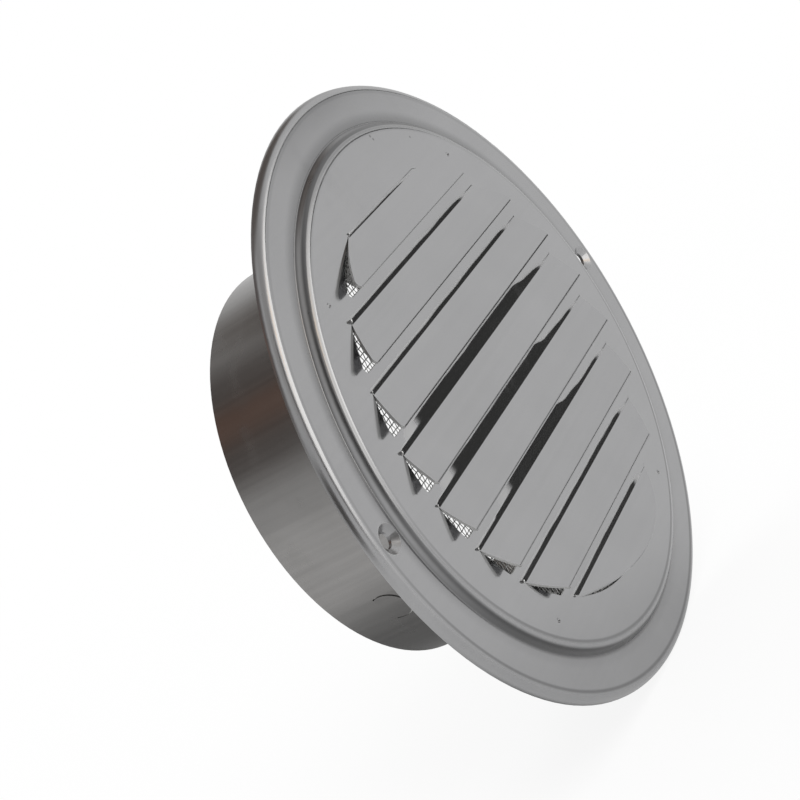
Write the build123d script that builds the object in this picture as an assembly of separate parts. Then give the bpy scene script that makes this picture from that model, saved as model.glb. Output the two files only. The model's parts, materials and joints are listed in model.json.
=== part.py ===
from build123d import *
import math
import os

# A round weather louvre for a wall duct, pressed from thin stainless sheet.
# Frame: millimetres, +Z up, front towards -Y, X to the right of a person facing it.
# The wall stands in the plane y = 0, and the duct runs back along +Y.
# The duct sets the spigot, and every ring of the face follows outward from it.

# Spigot, the tube that goes into the duct
spigot_diameter = 98.0
spigot_sheet = 0.6
spigot_reach = 39.5
spigot_bend = 2.6

# Rings of the face, each counted outward from the one before
louvre_overlap = 2.9
mesh_lap = 4.4
weld_band = 3.5
disc_room = 3.7
step_run = 1.4
flange_width = 10.1

# Face plate
sheet = 0.6
rim_depth = 2.3
rim_lip = 0.3
disc_height = 2.0
crown_bend = 2.2
foot_bend = 0.4

# Louvre blades, cut from the raised disc and bent outward at their top edge.
# The lowest one is bent out further, like a scoop.
blade_count = 8
top_margin = 3.6
bottom_margin = 9.2
strip_width = 3.3
blade_angle = 22.0
scoop_angle = 40.0
blade_bend = 1.5
slit_corner = 1.2
shear_gap = 0.12

# Screw holes, each in a dimple for a countersunk head
screw_hole = 3.6
dimple_diameter = 6.6
dimple_depth = 1.1
dimple_land = 0.1

# Weld dimples that join the disc to the spigot's flange
weld_angles = (50.0, 135.0, -134.0, -55.0)
weld_nub = 2.4
weld_pit = 1.2
weld_pit_depth = 0.3

# Woven mesh, drawn as two layers of bars inside a ring
wire = 0.25
mesh_ring = 2.5
bar_width = 1.6
bar_pitch = 10.4

# Half-moon grips lanced from the spigot wall
grip_count = 3
grip_angle = -153.1
grip_radius = 4.3
grip_height = 6.2
grip_back = 11.2
grip_lift = 0.2
grip_slit = 0.3

# Radii that follow from the sizes above
rim_bend = rim_depth - rim_lip
spigot_radius = spigot_diameter / 2
louvre_radius = spigot_radius + louvre_overlap
mesh_radius = louvre_radius + mesh_lap
spigot_flange_radius = mesh_radius + weld_band
weld_radius = mesh_radius + weld_band / 2
disc_radius = spigot_flange_radius + disc_room
step_foot = disc_radius + step_run
face_radius = step_foot + flange_width
screw_radius = step_foot + (flange_width - rim_bend) / 2

# Planes that the pieces share
flange_front = -rim_depth
disc_front = flange_front - disc_height
disc_back = disc_front + sheet
mesh_back = disc_back + 2 * wire

# Blades are spread evenly down the louvre circle
first_fold = louvre_radius - top_margin
last_fold = bottom_margin - louvre_radius
blade_pitch = (first_fold - last_fold) / (blade_count - 1)
blade_width = blade_pitch - strip_width

# The dimple's cone, and the ring of flange that is pressed with it
dimple_slope = math.atan2(dimple_depth, (dimple_diameter - screw_hole) / 2)
dimple_edge = dimple_diameter / 2 + sheet * math.tan(dimple_slope / 2) + dimple_land


def rounded(sketch, x, y, radius):
    corner = sketch.vertices().sort_by_distance((x, y, 0))[0]
    return fillet(corner, radius)


def peg(x, z, y_front, y_back, r_front, r_back):
    length = y_back - y_front
    if r_front == r_back:
        solid = Cylinder(r_front, length)
    else:
        solid = Cone(r_front, r_back, length)
    return Pos(x, (y_front + y_back) / 2, z) * Rot(-90, 0, 0) * solid


# The plate before cutting: disc, sloping step, flange and rim turned in one section
def plate_blank():
    slope = math.atan2(disc_height, step_run)
    shift = sheet * math.tan(slope / 2)
    front_disc = (disc_radius, disc_front)
    front_foot = (step_foot, flange_front)
    front_rim = (face_radius, flange_front)
    back_rim = (face_radius - sheet, flange_front + sheet)
    back_foot = (step_foot - shift, flange_front + sheet)
    back_disc = (disc_radius - shift, disc_back)
    section = make_face(
        Polyline(
            (0, disc_front),
            front_disc,
            front_foot,
            front_rim,
            (face_radius, 0),
            (face_radius - sheet, 0),
            back_rim,
            back_foot,
            back_disc,
            (0, disc_back),
            close=True,
        )
    )
    section = rounded(section, *front_disc, crown_bend + sheet)
    section = rounded(section, *front_foot, foot_bend)
    section = rounded(section, *front_rim, rim_bend)
    section = rounded(section, *back_rim, rim_bend - sheet)
    section = rounded(section, *back_foot, foot_bend + sheet)
    section = rounded(section, *back_disc, crown_bend)
    return revolve(section, Axis.Y)


# Outline of one blade in the flat sheet: a band of the louvre circle below its fold line
def blade_outline(fold, gap, top):
    bottom = fold - blade_width - gap
    reach = louvre_radius + gap
    band = Pos(0, (top + bottom) / 2) * Rectangle(4 * reach, top - bottom)
    outline = Circle(reach) & band
    if abs(bottom) < reach:
        corners = [v for v in outline.vertices() if abs(v.Y - bottom) < 0.001]
        outline = fillet(corners, slit_corner)
    return outline


def blade_opening(fold):
    outline = Plane.XZ * blade_outline(fold, shear_gap, fold)
    opening = extrude(outline, amount=sheet * 2, both=True)
    return Pos(0, disc_front, 0) * opening


# A bent blade: the bend and the straight leaf in section, trimmed to the flat outline
def blade(fold, angle):
    turn = math.radians(angle)
    inner = blade_bend
    outer = blade_bend + sheet
    leaf = blade_width - (blade_bend + sheet / 2) * turn

    def at(down, out):
        return (disc_front - out, fold - down)

    def arc_point(radius, part):
        return at(radius * math.sin(turn * part), inner - radius * math.cos(turn * part))

    tip_down = inner * math.sin(turn) + leaf * math.cos(turn)
    tip_out = inner - inner * math.cos(turn) + leaf * math.sin(turn)
    tip_front = at(tip_down, tip_out)
    tip_back = at(tip_down + sheet * math.sin(turn), tip_out - sheet * math.cos(turn))
    front_bend = [arc_point(inner, part) for part in (0, 0.5, 1)]
    back_bend = [arc_point(outer, part) for part in (1, 0.5, 0)]
    section = make_face(
        [
            ThreePointArc(*front_bend),
            Line(front_bend[2], tip_front),
            Line(tip_front, tip_back),
            Line(tip_back, back_bend[0]),
            ThreePointArc(*back_bend),
            Line(back_bend[2], front_bend[0]),
        ]
    )
    bent = extrude(Plane.YZ * section, amount=face_radius, both=True)
    outline = Plane.XZ * blade_outline(fold, 0, fold + 2 * sheet)
    trim = Pos(0, disc_front, 0) * extrude(outline, amount=blade_width, both=True)
    hinge = Axis((0, disc_front, fold), (1, 0, 0))
    return bent & trim.rotate(hinge, -angle)


# A screw hole at the bottom of a cone pressed into the flange
def screw_dimple():
    mouth = dimple_diameter / 2
    hole = screw_hole / 2
    floor = flange_front + dimple_depth
    section = make_face(
        Polyline(
            (dimple_edge, flange_front),
            (mouth, flange_front),
            (hole, floor),
            (hole, floor + sheet / math.cos(dimple_slope)),
            (dimple_edge - dimple_land, flange_front + sheet),
            (dimple_edge, flange_front + sheet),
            close=True,
        )
    )
    return revolve(section, Axis.Y)


def face_plate():
    folds = [first_fold - blade_pitch * k for k in range(blade_count)]
    plate = plate_blank()
    plate = plate - [blade_opening(fold) for fold in folds]
    plate = plate + [blade(fold, blade_angle) for fold in folds[:-1]]
    plate = plate + blade(folds[-1], scoop_angle)
    for side in (-1, 1):
        x = side * screw_radius
        plate = plate - peg(x, 0, flange_front - sheet, 0, dimple_edge, dimple_edge)
        plate = plate + Pos(x, 0, 0) * screw_dimple()
    for angle in weld_angles:
        x = weld_radius * math.cos(math.radians(angle))
        z = weld_radius * math.sin(math.radians(angle))
        plate = plate + peg(x, z, disc_back, mesh_back, weld_nub / 2, weld_nub / 2)
        plate = plate - peg(x, z, disc_front, disc_front + weld_pit_depth, weld_pit / 2, weld_pit / 4)
    return plate


def insect_mesh():
    steps = math.ceil(mesh_radius / bar_pitch)
    places = [bar_pitch * (k + 0.5) for k in range(-steps, steps)]
    disc = Circle(mesh_radius)
    bars = Sketch() + [Pos(x, 0) * Rectangle(bar_width, 2 * mesh_radius) for x in places]
    upright = disc & bars
    level = disc & Rot(0, 0, 90) * bars
    ring = disc - Circle(mesh_radius - mesh_ring)
    mesh = extrude(Plane.XZ * upright, amount=-wire)
    mesh = mesh + Pos(0, wire, 0) * extrude(Plane.XZ * level, amount=-wire)
    mesh = mesh + extrude(Plane.XZ * ring, amount=-2 * wire)
    return Pos(0, disc_back, 0) * mesh


# The tube with its turned-out front flange
def spigot_tube():
    outside = spigot_radius
    inside = outside - spigot_sheet
    edge = spigot_flange_radius
    front = mesh_back
    back = front + spigot_sheet
    section = make_face(
        Polyline(
            (edge, front),
            (inside, front),
            (inside, spigot_reach),
            (outside, spigot_reach),
            (outside, back),
            (edge, back),
            close=True,
        )
    )
    section = rounded(section, inside, front, spigot_bend + spigot_sheet)
    section = rounded(section, outside, back, spigot_bend)
    return revolve(section, Axis.Y)


# A half-moon, seen along +X from inside the wall: its straight side is towards the duct
def half_moon(radius, depth):
    chord = spigot_reach - grip_back
    centre = chord - grip_height + grip_radius
    moon = Pos(centre, 0) * Circle(radius)
    beyond = Pos(chord + radius * 2, 0) * Rectangle(radius * 4, radius * 4)
    return extrude(Plane.YZ * (moon - beyond), amount=depth)


def spigot():
    tube = spigot_tube()
    depth = spigot_sheet * 4
    wall_start = Pos(spigot_radius - depth / 2, 0, 0)
    slot = wall_start * half_moon(grip_radius + grip_slit, depth)
    moon = wall_start * half_moon(grip_radius, depth)
    tongue = tube & moon
    chord = spigot_reach - grip_back
    hinge = Axis((spigot_radius - spigot_sheet, chord, 0), (0, 0, 1))
    lifted = tongue.rotate(hinge, math.degrees(math.asin(grip_lift / grip_height)))
    for k in range(grip_count):
        turn = Rot(0, -(grip_angle + 360 / grip_count * k), 0)
        tube = tube - turn * slot
        tube = tube + turn * lifted
    return tube


os.makedirs("parts", exist_ok=True)
export_step(face_plate(), "parts/face_plate.step")
export_step(insect_mesh(), "parts/insect_mesh.step")
export_step(spigot(), "parts/spigot.step")
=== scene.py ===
# %% [markdown]
# # A round weather louvre in polished sheet steel
# The real object is a vent face for a wall duct: one pressed plate with eight blades bent out of it, a
# short tube behind it and a fine wire cloth between the two. The solids come from the CAD model, so this
# lesson adds what the solids lack: the woven cloth, the torn corners of the folds, the finish of the
# metal, a floor, light and a camera.

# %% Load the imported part
import json
import math
from collections import namedtuple

import bmesh
import bpy
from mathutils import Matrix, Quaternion, Vector

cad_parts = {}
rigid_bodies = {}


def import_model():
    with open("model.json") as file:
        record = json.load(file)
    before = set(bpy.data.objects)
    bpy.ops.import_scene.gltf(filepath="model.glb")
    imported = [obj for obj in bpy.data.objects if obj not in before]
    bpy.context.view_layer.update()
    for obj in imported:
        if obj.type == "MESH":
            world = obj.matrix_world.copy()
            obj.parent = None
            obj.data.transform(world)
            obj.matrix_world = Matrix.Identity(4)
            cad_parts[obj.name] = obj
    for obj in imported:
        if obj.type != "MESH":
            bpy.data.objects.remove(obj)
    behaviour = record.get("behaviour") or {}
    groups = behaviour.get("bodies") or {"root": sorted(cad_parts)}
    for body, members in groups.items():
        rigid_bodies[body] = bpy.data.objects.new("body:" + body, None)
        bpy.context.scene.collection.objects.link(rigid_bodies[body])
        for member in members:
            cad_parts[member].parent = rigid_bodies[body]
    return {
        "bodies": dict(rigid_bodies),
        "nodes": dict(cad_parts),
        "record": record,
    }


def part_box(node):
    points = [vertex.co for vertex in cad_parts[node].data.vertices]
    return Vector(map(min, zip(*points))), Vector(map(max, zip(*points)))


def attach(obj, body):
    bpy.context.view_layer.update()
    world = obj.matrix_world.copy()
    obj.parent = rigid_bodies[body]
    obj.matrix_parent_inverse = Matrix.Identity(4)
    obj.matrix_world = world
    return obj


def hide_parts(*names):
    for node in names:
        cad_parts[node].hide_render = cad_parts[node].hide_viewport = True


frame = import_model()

scene = bpy.context.scene
packed = [*frame["nodes"].values(), *frame["bodies"].values()]
for thing in list(scene.objects):
    if thing not in packed:
        bpy.data.objects.remove(thing)
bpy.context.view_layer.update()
print("nodes:", sorted(frame["nodes"]))

# %% [markdown]
# ## Sizes that the finishes and the cloth follow
# A scene that repeats bare numbers soon disagrees with its model. So the places come from the boxes of the
# CAD nodes, and the few sizes that a box doesn't show, such as the pitch of the blades, are named once here.

# %% Sizes in metres
MM = 0.001
plate_low, plate_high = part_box("face_plate")
cloth_low, cloth_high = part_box("insect_mesh")
mounts = {mount["name"]: mount for mount in frame["record"]["mounts"]}

face_radius = plate_high.x
cloth_radius = cloth_high.x
tube_radius = mounts["duct_spigot"]["dims"]["r_mm"] * MM
louvre_radius = 51.9 * MM
first_fold = 48.3 * MM
blade_pitch = 13.0 * MM
blade_count = 8
strip_width = 3.3 * MM
sheet = 0.6 * MM
disc_front = cloth_low.y - sheet
flange_front = -2.3 * MM
screw_x = mounts["screw_holes"]["dims"]["spacing_x_mm"] / 2 * MM
floor_height = plate_low.z
print("face", round(2 * face_radius / MM, 1), "mm wide, tube", round(2 * tube_radius / MM, 1), "mm wide")

# %% [markdown]
# ## The camera
# The photograph was taken close up with a longish lens, and the part leans over in the frame. A camera can
# be turned by typing three angles, but a place, a way to look and a roll are easier to read. They and the
# lens were fitted to the outlines of the rim, the tube and the blades.

# %% Camera
camera_place = Vector((-0.36969, -0.22159, 0.09659))
camera_forward = Vector((0.8181, 0.5396, -0.1987))
camera_roll = math.radians(-35.8)
camera_lens = 88.49
camera_sensor = 36.0
nearest_seen = 0.01

camera_data = bpy.data.cameras.new("photo_camera")
camera_data.lens = camera_lens
camera_data.sensor_width = camera_sensor
camera_data.clip_start = nearest_seen
camera = bpy.data.objects.new("photo_camera", camera_data)
scene.collection.objects.link(camera)
camera.location = camera_place
camera.rotation_mode = "QUATERNION"
upright = camera_forward.to_track_quat("-Z", "Y")
camera.rotation_quaternion = upright @ Quaternion((0, 0, 1), camera_roll)
scene.camera = camera
scene.view_settings.view_transform = "Standard"
print("camera is", round(camera_place.length, 3), "m from the part")

# %% [markdown]
# ## Small helpers for shader nodes
# Every finish below is a graph of nodes. Adding nodes and links one call at a time buries the idea, so a
# few helpers do the typing. One adds a node, and one feeds a socket with a link or a value. Others do a
# sum, multiply several values, ease a value between two ends, mix two values and split a vector.

# %% Node helpers
# A mix node has sockets for every kind of value: these are its two inputs and its output for each kind
mix_sockets = {"RGBA": (6, 7, 2), "VECTOR": (4, 5, 1)}


def add_node(tree, kind, **settings):
    node = tree.nodes.new(kind)
    for name, value in settings.items():
        setattr(node, name, value)
    return node


def feed(tree, value, socket):
    if isinstance(value, bpy.types.NodeSocket):
        tree.links.new(value, socket)
    else:
        socket.default_value = value


def calc(tree, operation, *values):
    node = add_node(tree, "ShaderNodeMath", operation=operation)
    for value, socket in zip(values, node.inputs):
        feed(tree, value, socket)
    return node.outputs[0]


def product(tree, first, *others):
    for other in others:
        first = calc(tree, "MULTIPLY", first, other)
    return first


def fade(tree, value, start, end):
    node = add_node(tree, "ShaderNodeMapRange", interpolation_type="SMOOTHSTEP")
    low_first = start <= end
    feed(tree, value, node.inputs["Value"])
    node.inputs["From Min"].default_value = start if low_first else end
    node.inputs["From Max"].default_value = end if low_first else start
    node.inputs["To Min"].default_value = 0.0 if low_first else 1.0
    node.inputs["To Max"].default_value = 1.0 if low_first else 0.0
    return node.outputs["Result"]


def mix(tree, kind, amount, first, second):
    node = add_node(tree, "ShaderNodeMix", data_type=kind)
    first_in, second_in, out = mix_sockets[kind]
    feed(tree, amount, node.inputs["Factor"])
    feed(tree, first, node.inputs[first_in])
    feed(tree, second, node.inputs[second_in])
    return node.outputs[out]


def axes_of(tree, vector):
    node = add_node(tree, "ShaderNodeSeparateXYZ")
    tree.links.new(vector, node.inputs[0])
    return node.outputs


print("node helpers ready")

# %% [markdown]
# ## Light from all round
# Polished metal has hardly any colour of its own: it shows what stands round it. In a studio that is pale
# walls with a few dark gaps, and each gap draws a dark stroke along a bend. One world does three jobs. The
# camera sees plain white, the metal sees the walls with their gaps, and the floor gets an even grey light.

# %% World
white = (1.0, 1.0, 1.0, 1.0)
wall_grey = (0.80, 0.80, 0.80, 1.0)
horizon_dark = (0.07, 0.07, 0.068, 1.0)
floor_light = 0.6
full_light = 1.0

# Each gap: the way to its middle, the degrees where it is still full and where it has ended, its colour
round_gaps = (
    ((-0.36, 0.64, 0.68), 19, 38, (0.19, 0.168, 0.158, 1.0)),
    ((-0.36, 0.64, 0.68), 2, 11, (0.31, 0.175, 0.125, 1.0)),
    ((0.45, 0.15, 0.88), 27, 33, (0.20, 0.172, 0.155, 1.0)),
    ((-0.24, -0.66, 0.71), 22, 36, (0.60, 0.59, 0.58, 1.0)),
)


def round_patch(tree, direction, towards, full, ended):
    aim = add_node(tree, "ShaderNodeVectorMath", operation="DOT_PRODUCT")
    tree.links.new(direction, aim.inputs[0])
    aim.inputs[1].default_value = Vector(towards).normalized()
    return fade(tree, aim.outputs["Value"], math.cos(math.radians(ended)), math.cos(math.radians(full)))


def horizon_gap(tree, direction):
    height = axes_of(tree, direction)["Z"]
    over_floor = fade(tree, height, -0.055, -0.040)
    under_walls = fade(tree, height, 0.050, 0.035)
    right_side = round_patch(tree, direction, (0.83, -0.555, 0.0), 8, 13)
    return product(tree, over_floor, under_walls, right_side)


def mirrored_rays(tree, path):
    return calc(tree, "MAXIMUM", path.outputs["Is Glossy Ray"], path.outputs["Is Transmission Ray"])


def backdrop(tree, colour, strength):
    node = add_node(tree, "ShaderNodeBackground")
    feed(tree, colour, node.inputs["Color"])
    node.inputs["Strength"].default_value = strength
    return node.outputs[0]


def mix_shader(tree, amount, first, second):
    node = add_node(tree, "ShaderNodeMixShader")
    feed(tree, amount, node.inputs[0])
    tree.links.new(first, node.inputs[1])
    tree.links.new(second, node.inputs[2])
    return node.outputs[0]


world = bpy.data.worlds.new("studio")
scene.world = world
world.use_nodes = True
sky = world.node_tree
sky.nodes.clear()
way = add_node(sky, "ShaderNodeTexCoord").outputs["Generated"]
blade_side = round_patch(sky, way, (0.84, -0.50, 0.20), 22, 42)
walls = mix(sky, "RGBA", blade_side, wall_grey, white)
walls = mix(sky, "RGBA", horizon_gap(sky, way), walls, horizon_dark)
for towards, full, ended, gap_colour in round_gaps:
    walls = mix(sky, "RGBA", round_patch(sky, way, towards, full, ended), walls, gap_colour)

sky_path = add_node(sky, "ShaderNodeLightPath")
for_floor = backdrop(sky, white, floor_light)
for_metal = backdrop(sky, walls, full_light)
for_camera = backdrop(sky, white, full_light)
around = mix_shader(sky, mirrored_rays(sky, sky_path), for_floor, for_metal)
around = mix_shader(sky, sky_path.outputs["Is Camera Ray"], around, for_camera)
sky_end = add_node(sky, "ShaderNodeOutputWorld")
sky.links.new(around, sky_end.inputs["Surface"])
print("world has", len(sky.nodes), "nodes")

# %% [markdown]
# ## Floor
# The part stands on a pale floor that runs into the white behind it. A floor that only glows has no shadow,
# and one that only takes light turns grey. So the camera sees mostly glow with a share of lit surface, and
# the metal sees more of the lit surface, with the shadow under the part in it. For the metal alone a soft
# dark patch is painted on the floor behind the face: a painted shadow that gives the tube its dark
# underside.

# %% Floor
floor_reach = 2.2
floor_grey = (0.92, 0.92, 0.92, 1.0)
glow_rises_from = 0.15
glow_full_from = 0.7
camera_least_glow = 0.88
metal_least_glow = 0.35
# A painted shadow on the floor behind the face, which only the metal sees
painted_shadow_place = Vector((0.01, 0.055, floor_height))
painted_shadow_full = 0.04
painted_shadow_end = 0.13
painted_shadow_front = 0.0
painted_shadow_front_full = 0.02
painted_shadow_colour = (0.32, 0.32, 0.32, 1.0)


def empty_material(name):
    finish = bpy.data.materials.new(name)
    finish.use_nodes = True
    finish.node_tree.nodes.clear()
    return finish


def distance_to(tree, spot, place):
    node = add_node(tree, "ShaderNodeVectorMath", operation="DISTANCE")
    tree.links.new(spot, node.inputs[0])
    node.inputs[1].default_value = place
    return node.outputs["Value"]


floor_mesh = bpy.data.meshes.new("floor")
shape = bmesh.new()
bmesh.ops.create_circle(shape, cap_ends=True, segments=96, radius=floor_reach)
bmesh.ops.translate(shape, verts=shape.verts, vec=(0, 0, floor_height))
shape.to_mesh(floor_mesh)
shape.free()
floor = bpy.data.objects.new("floor", floor_mesh)
scene.collection.objects.link(floor)

floor_finish = empty_material("pale_floor")
tree = floor_finish.node_tree
path = add_node(tree, "ShaderNodeLightPath")
mirrored = mirrored_rays(tree, path)
spot = add_node(tree, "ShaderNodeTexCoord").outputs["Object"]
far_off = fade(tree, distance_to(tree, spot, (0, 0, 0)), glow_rises_from, glow_full_from)
camera_glow = calc(tree, "MULTIPLY_ADD", far_off, 1 - camera_least_glow, camera_least_glow)
metal_glow = calc(tree, "MULTIPLY_ADD", far_off, 1 - metal_least_glow, metal_least_glow)
camera_share = calc(tree, "MULTIPLY", path.outputs["Is Camera Ray"], camera_glow)
glow_share = calc(tree, "MULTIPLY_ADD", mirrored, metal_glow, camera_share)

# Painted shadow: darkens the lit floor and its glow behind the face, for mirrored rays only
painted_shadow = fade(tree, distance_to(tree, spot, painted_shadow_place), painted_shadow_end, painted_shadow_full)
behind_face = fade(tree, axes_of(tree, spot)["Y"], painted_shadow_front, painted_shadow_front_full)
painted_shadow = product(tree, painted_shadow, behind_face, mirrored)
lit = add_node(tree, "ShaderNodeBsdfDiffuse")
tree.links.new(mix(tree, "RGBA", painted_shadow, floor_grey, painted_shadow_colour), lit.inputs["Color"])
glow = add_node(tree, "ShaderNodeEmission")
tree.links.new(mix(tree, "RGBA", painted_shadow, white, painted_shadow_colour), glow.inputs["Color"])
floor_end = add_node(tree, "ShaderNodeOutputMaterial")
tree.links.new(mix_shader(tree, glow_share, lit.outputs[0], glow.outputs[0]), floor_end.inputs["Surface"])
floor_mesh.materials.append(floor_finish)
print("floor at", round(floor_height / MM, 1), "mm")


# %% [markdown]
# ## Lamps and cards
# Two wide lamps, above the front and above the back, give the floor its soft shadows. Metal edges are drawn
# with cards: a white card gives a bright line along a bend, a small warm one gives it a glint, and dark
# cards give the dark lines beside it. The camera doesn't see the cards, so only reflections show them.


# %% Lamps and cards
def soft_lamp(name, place, size, power):
    data = bpy.data.lights.new(name, "AREA")
    data.shape = "SQUARE"
    data.size = size
    data.energy = power
    lamp = bpy.data.objects.new(name, data)
    scene.collection.objects.link(lamp)
    lamp.location = place
    lamp.rotation_mode = "QUATERNION"
    lamp.rotation_quaternion = (-Vector(place)).to_track_quat("-Z", "Y")
    lamp.visible_glossy = False


def card(name, bearing, distance, width, bottom, top, colour, strength):
    turn = math.radians(bearing)
    out = Vector((math.cos(turn), math.sin(turn), 0)) * distance
    side = Vector((-math.sin(turn), math.cos(turn), 0)) * (width / 2)
    corners = []
    for swing, height in ((-1, bottom), (1, bottom), (1, top), (-1, top)):
        corners.append(out + side * swing + Vector((0, 0, height)))
    mesh = bpy.data.meshes.new(name)
    mesh.from_pydata(corners, [], [(0, 1, 2, 3)])
    finish = empty_material(name)
    glow = add_node(finish.node_tree, "ShaderNodeEmission")
    glow.inputs["Color"].default_value = (*colour, 1.0)
    glow.inputs["Strength"].default_value = strength
    end = add_node(finish.node_tree, "ShaderNodeOutputMaterial")
    finish.node_tree.links.new(glow.outputs[0], end.inputs["Surface"])
    mesh.materials.append(finish)
    made = bpy.data.objects.new(name, mesh)
    scene.collection.objects.link(made)
    made.visible_camera = False
    made.visible_diffuse = False
    made.visible_shadow = False


soft_lamp("front_softbox", place=(-0.35, -0.75, 1.1), size=0.9, power=9.0)
soft_lamp("back_softbox", place=(0.6, 0.7, 1.0), size=0.9, power=5.0)
card(
    "white_card", bearing=-76, distance=0.45, width=0.50,
    bottom=floor_height, top=0.24, colour=(1.0, 0.99, 0.97), strength=2.4,
)
card(
    "warm_card", bearing=-80, distance=0.44, width=0.14,
    bottom=0.150, top=0.185, colour=(1.0, 0.60, 0.22), strength=2.8,
)
card(
    "dark_card", bearing=-112, distance=0.45, width=0.15,
    bottom=floor_height, top=0.36, colour=(1.0, 0.92, 0.86), strength=0.10,
)
card(
    "far_dark_card", bearing=176, distance=0.45, width=0.40,
    bottom=floor_height, top=0.12, colour=(1.0, 0.88, 0.80), strength=0.07,
)
print("lamps and cards set")

# %% [markdown]
# ## Wear that all the steel shares
# Rolled and polished sheet is never quite even: it has broad cloudy patches, fine hairlines, duller scuffs
# and a slight waviness. Each could be drawn in every material, but one node group with named inputs keeps
# them alike. Its inputs set how far each effect goes, and its outputs are a shade, a roughness and a height.

# %% Shared steel wear group
wear_inputs = (("Roughness", 0.12), ("Cloud", 0.04), ("Hairline", 0.03), ("Wave", 0.02 * MM))
hairline_roughness = 0.25
scuff_roughness = 0.35


def steel_wear_group():
    group = bpy.data.node_groups.new("steel_wear", "ShaderNodeTree")
    face = group.interface
    face.new_socket("Place", in_out="INPUT", socket_type="NodeSocketVector")
    for name, value in wear_inputs:
        socket = face.new_socket(name, in_out="INPUT", socket_type="NodeSocketFloat")
        socket.default_value = value
    for name in ("Shade", "Roughness", "Height"):
        face.new_socket(name, in_out="OUTPUT", socket_type="NodeSocketFloat")
    start = add_node(group, "NodeGroupInput")
    end = add_node(group, "NodeGroupOutput")
    place = start.outputs["Place"]

    def noise(size, detail, stretch=(1, 1, 1)):
        sizing = add_node(group, "ShaderNodeMapping")
        sizing.inputs["Scale"].default_value = stretch
        group.links.new(place, sizing.inputs["Vector"])
        made = add_node(group, "ShaderNodeTexNoise")
        made.inputs["Scale"].default_value = 1 / size
        made.inputs["Detail"].default_value = detail
        group.links.new(sizing.outputs[0], made.inputs["Vector"])
        return calc(group, "SUBTRACT", made.outputs[0], 0.5)

    cloud = noise(size=18 * MM, detail=3.0)
    hairline = noise(size=2.2 * MM, detail=2.0, stretch=(0.04, 1, 1.6))
    scuff = fade(group, noise(size=9 * MM, detail=2.0, stretch=(1, 1, 0.5)), 0.08, 0.24)
    wave = noise(size=14 * MM, detail=1.0)
    cloud_part = calc(group, "MULTIPLY", cloud, start.outputs["Cloud"])
    hair_part = calc(group, "MULTIPLY", hairline, start.outputs["Hairline"])
    shade = calc(group, "ADD", calc(group, "ADD", cloud_part, hair_part), 1.0)
    group.links.new(shade, end.inputs["Shade"])
    rough = calc(group, "MULTIPLY_ADD", hairline, hairline_roughness, 1.0)
    rough = calc(group, "MULTIPLY_ADD", scuff, scuff_roughness, rough)
    group.links.new(calc(group, "MULTIPLY", rough, start.outputs["Roughness"]), end.inputs["Roughness"])
    group.links.new(calc(group, "MULTIPLY", wave, start.outputs["Wave"]), end.inputs["Height"])
    return group


steel_wear = steel_wear_group()
print("steel wear group has", len(steel_wear.nodes), "nodes")

# %% [markdown]
# ## A base for every steel finish
# Every piece is bare stainless steel, so all finishes share a start: a fully metallic shader, the wear
# group and a bump node. A function builds that start and hands back the parts that a finish may change.

# %% Bare steel start
Steel = namedtuple("Steel", "finish tree place wear colour metal bump")


def bare_steel(name, tint, roughness, cloud, hairline, wave):
    finish = empty_material(name)
    tree = finish.node_tree
    place = add_node(tree, "ShaderNodeTexCoord").outputs["Object"]
    wear = add_node(tree, "ShaderNodeGroup", node_tree=steel_wear)
    tree.links.new(place, wear.inputs["Place"])
    wear.inputs["Roughness"].default_value = roughness
    wear.inputs["Cloud"].default_value = cloud
    wear.inputs["Hairline"].default_value = hairline
    wear.inputs["Wave"].default_value = wave
    colour = add_node(tree, "ShaderNodeVectorMath", operation="SCALE")
    colour.inputs[0].default_value = tint
    tree.links.new(wear.outputs["Shade"], colour.inputs["Scale"])
    metal = add_node(tree, "ShaderNodeBsdfPrincipled")
    metal.inputs["Metallic"].default_value = 1.0
    tree.links.new(colour.outputs[0], metal.inputs["Base Color"])
    tree.links.new(wear.outputs["Roughness"], metal.inputs["Roughness"])
    bump = add_node(tree, "ShaderNodeBump")
    bump.inputs["Distance"].default_value = 1.0
    tree.links.new(wear.outputs["Height"], bump.inputs["Height"])
    tree.links.new(bump.outputs[0], metal.inputs["Normal"])
    end = add_node(tree, "ShaderNodeOutputMaterial")
    tree.links.new(metal.outputs[0], end.inputs["Surface"])
    return Steel(finish, tree, place, wear, colour, metal, bump)


print("bare steel function ready")

# %% [markdown]
# ## Pressed rings of the face plate
# The plate is bright rolled sheet, so its bends draw the sharpest lines of the whole picture. The mesh has
# a few flat facets round each bend, and a mirror shows them. The rings of the plate are known circles, so
# a node group works out the true direction of the surface from the distance to the axis. It is trusted only
# where the mesh faces nearly the same way, from the front or from the back.

# %% True direction of the pressed rings
crown_start = 62.04 * MM
crown_radius = 2.8 * MM
foot_end = 65.11 * MM
foot_radius = 0.4 * MM
wall_lean = 0.819
rim_radius = 2.0 * MM
rings_start = 60 * MM
rings_full = 61 * MM
least_drop = 0.001 * MM


def distance_from_axis(tree, across, up):
    squares = calc(tree, "ADD", calc(tree, "MULTIPLY", across, across), calc(tree, "MULTIPLY", up, up))
    return calc(tree, "SQRT", squares)


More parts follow.
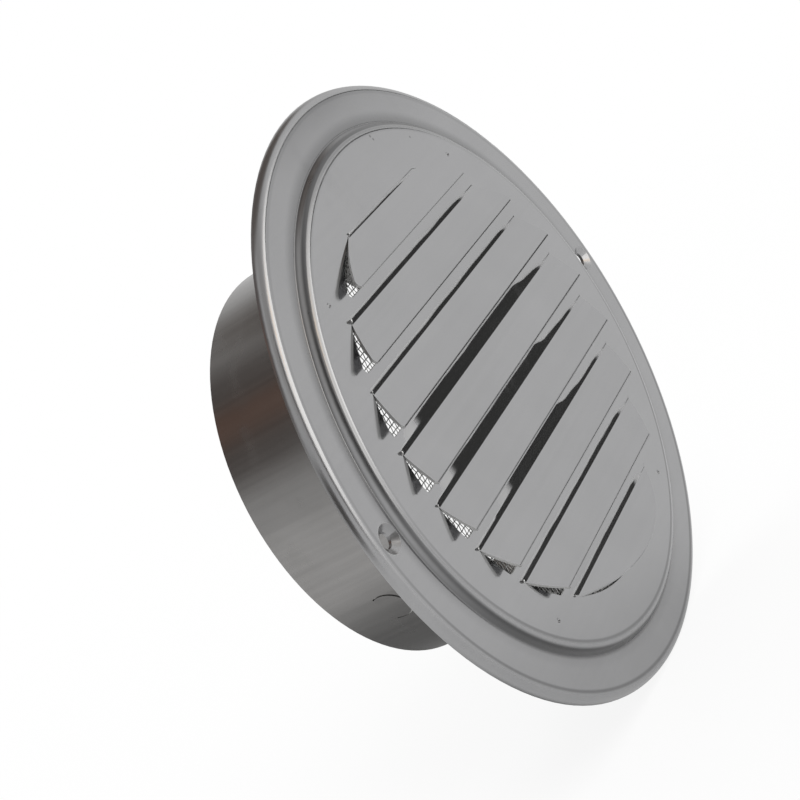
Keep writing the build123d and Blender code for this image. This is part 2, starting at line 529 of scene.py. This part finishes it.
def true_direction(group, across, deep, up, radius):
    def lean(outer, inner, back, front, most):
        run = calc(group, "MAXIMUM", calc(group, "SUBTRACT", outer, inner), 0.0)
        drop = calc(group, "MAXIMUM", calc(group, "SUBTRACT", back, front), least_drop)
        return calc(group, "MINIMUM", calc(group, "DIVIDE", run, distance_from_axis(group, run, drop)), most)

    crown = lean(radius, crown_start, disc_front + crown_radius, deep, wall_lean)
    foot = lean(foot_end, radius, deep, flange_front - foot_radius, wall_lean)
    rim = lean(radius, face_radius - rim_radius, flange_front + rim_radius, deep, 1.0)
    outward = calc(group, "ADD", calc(group, "MINIMUM", crown, foot), rim)
    rest = calc(group, "SUBTRACT", 1.0, calc(group, "MULTIPLY", outward, outward))
    forward = calc(group, "SQRT", calc(group, "MAXIMUM", rest, 0.0))
    share = calc(group, "DIVIDE", outward, radius)
    direction = add_node(group, "ShaderNodeCombineXYZ")
    group.links.new(calc(group, "MULTIPLY", across, share), direction.inputs["X"])
    group.links.new(calc(group, "MULTIPLY", forward, -1.0), direction.inputs["Y"])
    group.links.new(calc(group, "MULTIPLY", up, share), direction.inputs["Z"])
    return direction.outputs[0], outward


def pressed_rings_group():
    group = bpy.data.node_groups.new("pressed_rings", "ShaderNodeTree")
    group.interface.new_socket("Place", in_out="INPUT", socket_type="NodeSocketVector")
    group.interface.new_socket("Normal", in_out="OUTPUT", socket_type="NodeSocketVector")
    group.interface.new_socket("Bend", in_out="OUTPUT", socket_type="NodeSocketFloat")
    start = add_node(group, "NodeGroupInput")
    end = add_node(group, "NodeGroupOutput")
    axes = axes_of(group, start.outputs["Place"])
    radius = distance_from_axis(group, axes["X"], axes["Z"])
    direction, outward = true_direction(group, axes["X"], axes["Y"], axes["Z"], radius)

    given = add_node(group, "ShaderNodeNewGeometry").outputs["Normal"]
    likeness = add_node(group, "ShaderNodeVectorMath", operation="DOT_PRODUCT")
    group.links.new(given, likeness.inputs[0])
    group.links.new(direction, likeness.inputs[1])
    facing = add_node(group, "ShaderNodeVectorMath", operation="SCALE")
    group.links.new(direction, facing.inputs[0])
    group.links.new(calc(group, "SIGN", likeness.outputs["Value"]), facing.inputs["Scale"])
    alike = fade(group, calc(group, "ABSOLUTE", likeness.outputs["Value"]), 0.85, 0.92)
    trusted = calc(group, "MULTIPLY", alike, fade(group, radius, rings_start, rings_full))
    group.links.new(mix(group, "VECTOR", trusted, given, facing.outputs[0]), end.inputs["Normal"])
    bend = fade(group, outward, 0.02, 0.3)
    group.links.new(calc(group, "MULTIPLY", bend, trusted), end.inputs["Bend"])
    return group


pressed_rings = pressed_rings_group()
print("pressed rings group has", len(pressed_rings.nodes), "nodes")

# %% [markdown]
# ## Strips between the blades
# When the press cut the blades, it pulled the narrow strips between them slightly out of flat, most of all
# the long ones in the middle, and they mirror a darker part of the room. The pull is far thinner than the
# sheet, so the finish leans the surface there instead of moving it. Every fold has a narrow leaning line,
# the middle strips lean over more of their width, and both taper towards the ends with a ragged edge. The
# press also left the lower edge of each blade slightly rolled over.

# %% Lean of the strips
# Rows are counted from the top fold, which is row 0
fold_bend = 0.6 * MM
middle_row = 4.0
middle_rows_each_way = 1.2
low_row = 5.5
line_width = 1.05 * MM
low_line_extra = 0.25 * MM
top_line_less = 0.55 * MM
pull_width = 2.1 * MM
lean_at_middle = 0.2115
lean_per_metre = -1.98
rolled_start = fold_bend + strip_width + 0.8 * MM
rolled_lean = -0.22


def row_of(tree, fold, number):
    return calc(tree, "COMPARE", fold, number, 0.5)


def rows_down(tree, up):
    row = calc(tree, "DIVIDE", calc(tree, "SUBTRACT", up, first_fold - fold_bend), blade_pitch)
    above_fold = calc(tree, "MULTIPLY", calc(tree, "FRACT", row), blade_pitch)
    fold = calc(tree, "MULTIPLY", calc(tree, "FLOOR", row), -1.0)
    return fold, above_fold


# How far each strip is pulled: the full pull ends further left from row to row, and a tail runs on from it
def pulled_strips(tree, fold, across, from_left):
    full_end = calc(tree, "MULTIPLY_ADD", fold, -8 * MM, 52 * MM)
    past_end = calc(tree, "SUBTRACT", across, full_end)
    body = calc(tree, "MULTIPLY", fade(tree, past_end, 5.0 * MM, -2.0 * MM), 0.55)
    tail = calc(tree, "MULTIPLY", fade(tree, past_end, 20 * MM, 0.0), 0.45)
    left_end = fade(tree, from_left, -52 * MM, -45 * MM)
    middle_rows = calc(tree, "COMPARE", fold, middle_row, middle_rows_each_way)
    return product(tree, calc(tree, "ADD", body, tail), left_end, middle_rows)


def ragged_edge(tree, place):
    streaks = add_node(tree, "ShaderNodeMapping")
    streaks.inputs["Scale"].default_value = (0.08, 1.0, 1.0)
    tree.links.new(place, streaks.inputs["Vector"])
    noise = add_node(tree, "ShaderNodeTexNoise")
    noise.inputs["Scale"].default_value = 1 / (0.9 * MM)
    tree.links.new(streaks.outputs[0], noise.inputs["Vector"])
    return calc(tree, "SUBTRACT", noise.outputs[0], 0.5)


def distance_from_right(tree, across, up):
    half_square = calc(tree, "SUBTRACT", louvre_radius**2, calc(tree, "MULTIPLY", up, up))
    half_width = calc(tree, "SQRT", calc(tree, "MAXIMUM", half_square, 0.0))
    return calc(tree, "SUBTRACT", half_width, across)


def pressed_strips(tree, place, across, up, fold, above_fold):
    from_left = calc(tree, "MULTIPLY_ADD", row_of(tree, fold, 5.0), -14 * MM, across)
    from_right = distance_from_right(tree, across, up)
    low_rows = fade(tree, fold, low_row - 0.1, low_row + 0.1)
    line = calc(tree, "MULTIPLY_ADD", low_rows, low_line_extra, line_width)
    line = calc(tree, "MULTIPLY_ADD", row_of(tree, fold, 0.0), -top_line_less, line)
    reach = calc(tree, "MULTIPLY_ADD", pulled_strips(tree, fold, across, from_left), pull_width, line)
    reach = calc(tree, "MULTIPLY", reach, fade(tree, from_right, -1 * MM, 13 * MM))
    short_of_reach = calc(tree, "SUBTRACT", reach, above_fold)
    short_of_reach = calc(tree, "MULTIPLY_ADD", ragged_edge(tree, place), 0.5 * MM, short_of_reach)
    pressed = fade(tree, short_of_reach, -0.55 * MM, 0.35 * MM)
    past_line = fade(tree, calc(tree, "SUBTRACT", above_fold, line), 0.0, 0.5 * MM)
    lost_at_left = calc(tree, "MULTIPLY", past_line, fade(tree, from_left, -37 * MM, -50 * MM))
    kept_at_left = calc(tree, "SUBTRACT", 1.0, lost_at_left)
    return product(tree, pressed, kept_at_left, fade(tree, from_right, 0.5 * MM, 10 * MM))


def rolled_edges(tree, above_fold):
    past_start = calc(tree, "SUBTRACT", above_fold, rolled_start)
    rising = fade(tree, past_start, -0.2 * MM, -0.1 * MM)
    return calc(tree, "MULTIPLY", fade(tree, past_start, 0.8 * MM, 0.0), rising)


# The lean to add to a direction that already rises by given_rise, and how far each point was pressed
def strip_lean(tree, place, across, up, radius, given_rise):
    fold, above_fold = rows_down(tree, up)
    inside = fade(tree, radius, louvre_radius + 0.3 * MM, louvre_radius - 0.3 * MM)
    pressed = calc(tree, "MULTIPLY", pressed_strips(tree, place, across, up, fold, above_fold), inside)
    rolled = calc(tree, "MULTIPLY", rolled_edges(tree, above_fold), inside)
    slope = calc(tree, "MULTIPLY_ADD", up, lean_per_metre, lean_at_middle)
    slope = calc(tree, "SUBTRACT", slope, given_rise)
    lean = calc(tree, "MULTIPLY_ADD", pressed, slope, calc(tree, "MULTIPLY", rolled, rolled_lean))
    return lean, pressed


print("strip lean functions ready")

# %% [markdown]
# ## Shades of the plate
# The cut ends of the blades are bare shear marks, paler and duller than the rolled face, and they are found
# by the way they face. The dimples of the screw holes were stretched by the punch, so they are duller too.
# Dark reflections along the bends are painted into the colour as painted shade: the rings next to the
# bends are shaded by their distance to the axis, some more on the upper side of the plate and some more on
# the lower. Three small marks near the top edge come from handling.

# %% Cut ends, painted dark rings, screw dimples and marks
# Painted dark rings in mm: start, full from, full to, end, then the depth on the upper and on the lower side
painted_dark_rings = (
    (61.5, 62.0, 62.1, 62.8, 0.08, 0.36),
    (62.5, 62.8, 63.1, 63.3, 0.30, 0.0),
    (63.15, 63.4, 63.9, 64.4, 0.64, 0.22),
    (63.3, 63.8, 64.6, 65.8, 0.05, 0.64),
    (64.5, 64.8, 65.0, 65.4, 0.42, 0.0),
    (65.0, 65.3, 65.3, 68.3, 0.30, 0.10),
    (72.0, 72.6, 72.7, 73.3, 0.12, 0.40),
)
flange_shade = -0.04

# Marks in mm: across, up and radius
marks = ((12.2, 60.2, 0.5), (12.6, 59.2, 0.45), (27.1, 53.7, 0.4))
mark_depth = -0.5


def cut_ends(tree, radius):
    normal = add_node(tree, "ShaderNodeNewGeometry").outputs["Normal"]
    sideways = fade(tree, calc(tree, "ABSOLUTE", axes_of(tree, normal)["Y"]), 0.6, 0.4)
    return calc(tree, "MULTIPLY", sideways, fade(tree, radius, 56 * MM, 54 * MM))


# Painted shade: dark reflections of the bends as darker rings, most on the lower side, on a slightly darker
# flange
def painted_ring_shade(tree, radius, up):
    low_side = fade(tree, up, 15 * MM, -35 * MM)
    shade = calc(tree, "MULTIPLY_ADD", fade(tree, radius, 64.5 * MM, 65.5 * MM), flange_shade, 1.0)
    for start, full_from, full_to, end, depth, low_depth in painted_dark_rings:
        rising = fade(tree, radius, start * MM, full_from * MM)
        ring = calc(tree, "MULTIPLY", rising, fade(tree, radius, end * MM, full_to * MM))
        amount = calc(tree, "MULTIPLY_ADD", low_side, depth - low_depth, -depth)
        shade = calc(tree, "MULTIPLY", shade, calc(tree, "MULTIPLY_ADD", ring, amount, 1.0))
    return shade


def near_screws(tree, across, up):
    from_screw = calc(tree, "SUBTRACT", calc(tree, "ABSOLUTE", across), screw_x)
    return fade(tree, distance_from_axis(tree, from_screw, up), 3.9 * MM, 3.4 * MM)


def small_marks(tree, across, up):
    shade = 1.0
    for x, z, size in marks:
        beside = calc(tree, "SUBTRACT", across, x * MM)
        above = calc(tree, "SUBTRACT", up, z * MM)
        mark = fade(tree, distance_from_axis(tree, beside, above), size * MM, 0.2 * size * MM)
        shade = calc(tree, "MULTIPLY_ADD", mark, mark_depth, shade)
    return shade


print("plate shades ready:", len(painted_dark_rings), "rings and", len(marks), "marks")

# %% [markdown]
# ## Polished sheet
# The finish of the plate joins these parts. The direction of the rings and the lean of the strips are added
# up and go into the bump node as its normal, so the waviness of the sheet still lies on top. Each effect
# then adds its own share to the roughness: the middle of a pressed strip is smooth, and its edge is not.

# %% Polished sheet
cut_colour = (0.62, 0.62, 0.61, 1.0)
cut_roughness = 0.2
bend_roughness = 0.15
screw_roughness = 0.15
pressed_roughness = -0.06
pressed_edge_roughness = 1.2

polished = bare_steel(
    "polished_sheet_finish", tint=(0.342, 0.342, 0.346), roughness=0.13,
    cloud=0.11, hairline=0.06, wave=0.03 * MM,
)
tree = polished.tree
axes = axes_of(tree, polished.place)
across = axes["X"]
up = axes["Z"]
radius = distance_from_axis(tree, across, up)
rings = add_node(tree, "ShaderNodeGroup", node_tree=pressed_rings)
tree.links.new(polished.place, rings.inputs["Place"])

given_rise = axes_of(tree, rings.outputs["Normal"])["Z"]
lean, pressed = strip_lean(tree, polished.place, across, up, radius, given_rise)
lean_up = add_node(tree, "ShaderNodeCombineXYZ")
tree.links.new(lean, lean_up.inputs["Z"])
leaning = add_node(tree, "ShaderNodeVectorMath", operation="ADD")
tree.links.new(rings.outputs["Normal"], leaning.inputs[0])
tree.links.new(lean_up.outputs[0], leaning.inputs[1])
unit = add_node(tree, "ShaderNodeVectorMath", operation="NORMALIZE")
tree.links.new(leaning.outputs[0], unit.inputs[0])
tree.links.new(unit.outputs[0], polished.bump.inputs["Normal"])

cut = cut_ends(tree, radius)
# The colour carries the painted dark rings, the wear and the marks
shade = calc(tree, "MULTIPLY", painted_ring_shade(tree, radius, up), polished.wear.outputs["Shade"])
shade = calc(tree, "MULTIPLY", shade, small_marks(tree, across, up))
tree.links.new(shade, polished.colour.inputs["Scale"])
base_colour = mix(tree, "RGBA", cut, polished.colour.outputs[0], cut_colour)
tree.links.new(base_colour, polished.metal.inputs["Base Color"])
pressed_edge = calc(tree, "MULTIPLY", pressed, calc(tree, "SUBTRACT", 1.0, pressed))
roughness = polished.wear.outputs["Roughness"]
for amount, change in (
    (cut, cut_roughness),
    (rings.outputs["Bend"], bend_roughness),
    (near_screws(tree, across, up), screw_roughness),
    (pressed, pressed_roughness),
    (pressed_edge, pressed_edge_roughness),
):
    roughness = calc(tree, "MULTIPLY_ADD", amount, change, roughness)
tree.links.new(roughness, polished.metal.inputs["Roughness"])
plate = frame["nodes"]["face_plate"]
plate.data.materials[0] = polished.finish
print("polished sheet has", len(tree.nodes), "nodes")

# %% [markdown]
# ## Torn corners of the folds
# Where a slit meets the left end of its fold, the sheet tears a little, and a small lip curls forward and
# catches the light. A bump would not stand out past the edge, so each lip is a short tapered curl of real
# geometry. The lips differ a little in size, by a rule and not by chance, so that the scene comes out the
# same each time.

# %% Torn corners
curl_steps = 5
curl_sides = 6
curl_bend = 1.9
curl_width = 0.42
curl_taper = 0.7


def add_curl(corner, size, corners, faces):
    start = len(corners)
    for step in range(curl_steps):
        part = step / (curl_steps - 1)
        middle = corner + Vector((-0.5 * part, -0.55 * math.sin(curl_bend * part), 0.35 * part)) * size
        width = curl_width * (1 - curl_taper * part) * size
        for k in range(curl_sides):
            turn = 2 * math.pi * k / curl_sides
            spoke = Vector((0.6 * math.cos(turn), 0.5 * math.sin(turn), math.cos(turn)))
            corners.append(middle + spoke * width)
    for step in range(curl_steps - 1):
        for k in range(curl_sides):
            a = start + step * curl_sides + k
            b = start + step * curl_sides + (k + 1) % curl_sides
            faces.append((a, b, b + curl_sides, a + curl_sides))
    last = start + (curl_steps - 1) * curl_sides
    faces.append(tuple(range(last, last + curl_sides)))


def torn_corners():
    corners = []
    faces = []
    for k in range(blade_count):
        height = first_fold - blade_pitch * k
        half = math.sqrt(louvre_radius**2 - height**2)
        size = (0.85 + 0.3 * math.sin(2.7 * k - 1)) * MM
        add_curl(Vector((-half, disc_front, height)), size, corners, faces)
    mesh = bpy.data.meshes.new("torn_corners")
    mesh.from_pydata(corners, [], faces)
    mesh.shade_smooth()
    return bpy.data.objects.new("torn_corners", mesh)


torn = torn_corners()
scene.collection.objects.link(torn)
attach(torn, "root")
torn_edge = bare_steel(
    "torn_edge_finish", tint=(0.85, 0.85, 0.84), roughness=0.5,
    cloud=0.2, hairline=0.1, wave=0.02 * MM,
)
torn.data.materials.append(torn_edge.finish)
print("torn corners have", len(torn.data.polygons), "faces")

# %% [markdown]
# ## Satin tube
# The tube was rolled from sheet and not polished, so its shine is softer, with streaks along it. The wear
# group draws its hairlines along X. So the tube hands it the surface unrolled: the way along the tube as X
# and the way round it as Z. The seam of the unrolled surface lies at the bottom.

# %% Satin sheet
satin = bare_steel(
    "satin_sheet_finish", tint=(0.265, 0.26, 0.255), roughness=0.24,
    cloud=0.25, hairline=0.30, wave=0.04 * MM,
)
tree = satin.tree
axes = axes_of(tree, satin.place)
round_way = calc(tree, "MULTIPLY", calc(tree, "ARCTAN2", axes["X"], axes["Z"]), tube_radius)
unrolled = add_node(tree, "ShaderNodeCombineXYZ")
tree.links.new(axes["Y"], unrolled.inputs["X"])
tree.links.new(round_way, unrolled.inputs["Z"])
tree.links.new(unrolled.outputs[0], satin.wear.inputs["Place"])
tube = frame["nodes"]["spigot"]
tube.data.materials[0] = satin.finish
print("satin sheet has", len(tree.nodes), "nodes")

# %% [markdown]
# ## Woven wire cloth
# The insect mesh is a plain weave: each wire goes over one crossing wire and under the next. Curves with a
# round bevel would do, but thousands of crossings need a light mesh. So each wire is a four-sided tube with
# one ring of points at every crossing, and smooth shading rounds it. It takes the CAD disc's place and size.

# %% Woven cloth
upright_pitch = 1.06 * MM
level_pitch = 1.31 * MM
cloth_middle = (cloth_low.y + cloth_high.y) / 2
wire_radius = (cloth_high.y - cloth_low.y) / 4
wire_sides = 4


def wire_tube(points, side, corners, faces):
    start = len(corners)
    deep = Vector((0, 1, 0))
    for point in points:
        for spoke in (side, deep, -side, -deep):
            corners.append(point + spoke * wire_radius)
    for ring in range(len(points) - 1):
        for k in range(wire_sides):
            a = start + ring * wire_sides + k
            b = start + ring * wire_sides + (k + 1) % wire_sides
            faces.append((a, b, b + wire_sides, a + wire_sides))


def wire_points(offset, index, pitch, along, across, phase):
    half = math.sqrt(cloth_radius**2 - offset**2)
    last = int((half - wire_radius) / pitch)
    points = []
    for k in range(-last, last + 1):
        swing = wire_radius if (k + index + phase) % 2 else -wire_radius
        points.append(along * (k * pitch) + across * offset + Vector((0, cloth_middle + swing, 0)))
    return points


def woven_cloth():
    corners = []
    faces = []
    east = Vector((1, 0, 0))
    top = Vector((0, 0, 1))
    for pitch, crossing, along, across, phase in (
        (upright_pitch, level_pitch, top, east, 0),
        (level_pitch, upright_pitch, east, top, 1),
    ):
        count = int((cloth_radius - wire_radius) / pitch)
        for index in range(-count, count + 1):
            points = wire_points(index * pitch, index, crossing, along, across, phase)
            if len(points) > 1:
                wire_tube(points, across, corners, faces)
    mesh = bpy.data.meshes.new("woven_cloth")
    mesh.from_pydata(corners, [], faces)
    mesh.shade_smooth()
    return bpy.data.objects.new("woven_cloth", mesh)


cloth = woven_cloth()
scene.collection.objects.link(cloth)
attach(cloth, "root")
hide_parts("insect_mesh")
drawn_wire = bare_steel(
    "drawn_wire_finish", tint=(0.45, 0.45, 0.44), roughness=0.35,
    cloud=0.3, hairline=0.1, wave=0.01 * MM,
)
cloth.data.materials.append(drawn_wire.finish)
print("cloth has", len(cloth.data.polygons) * 2, "triangles")
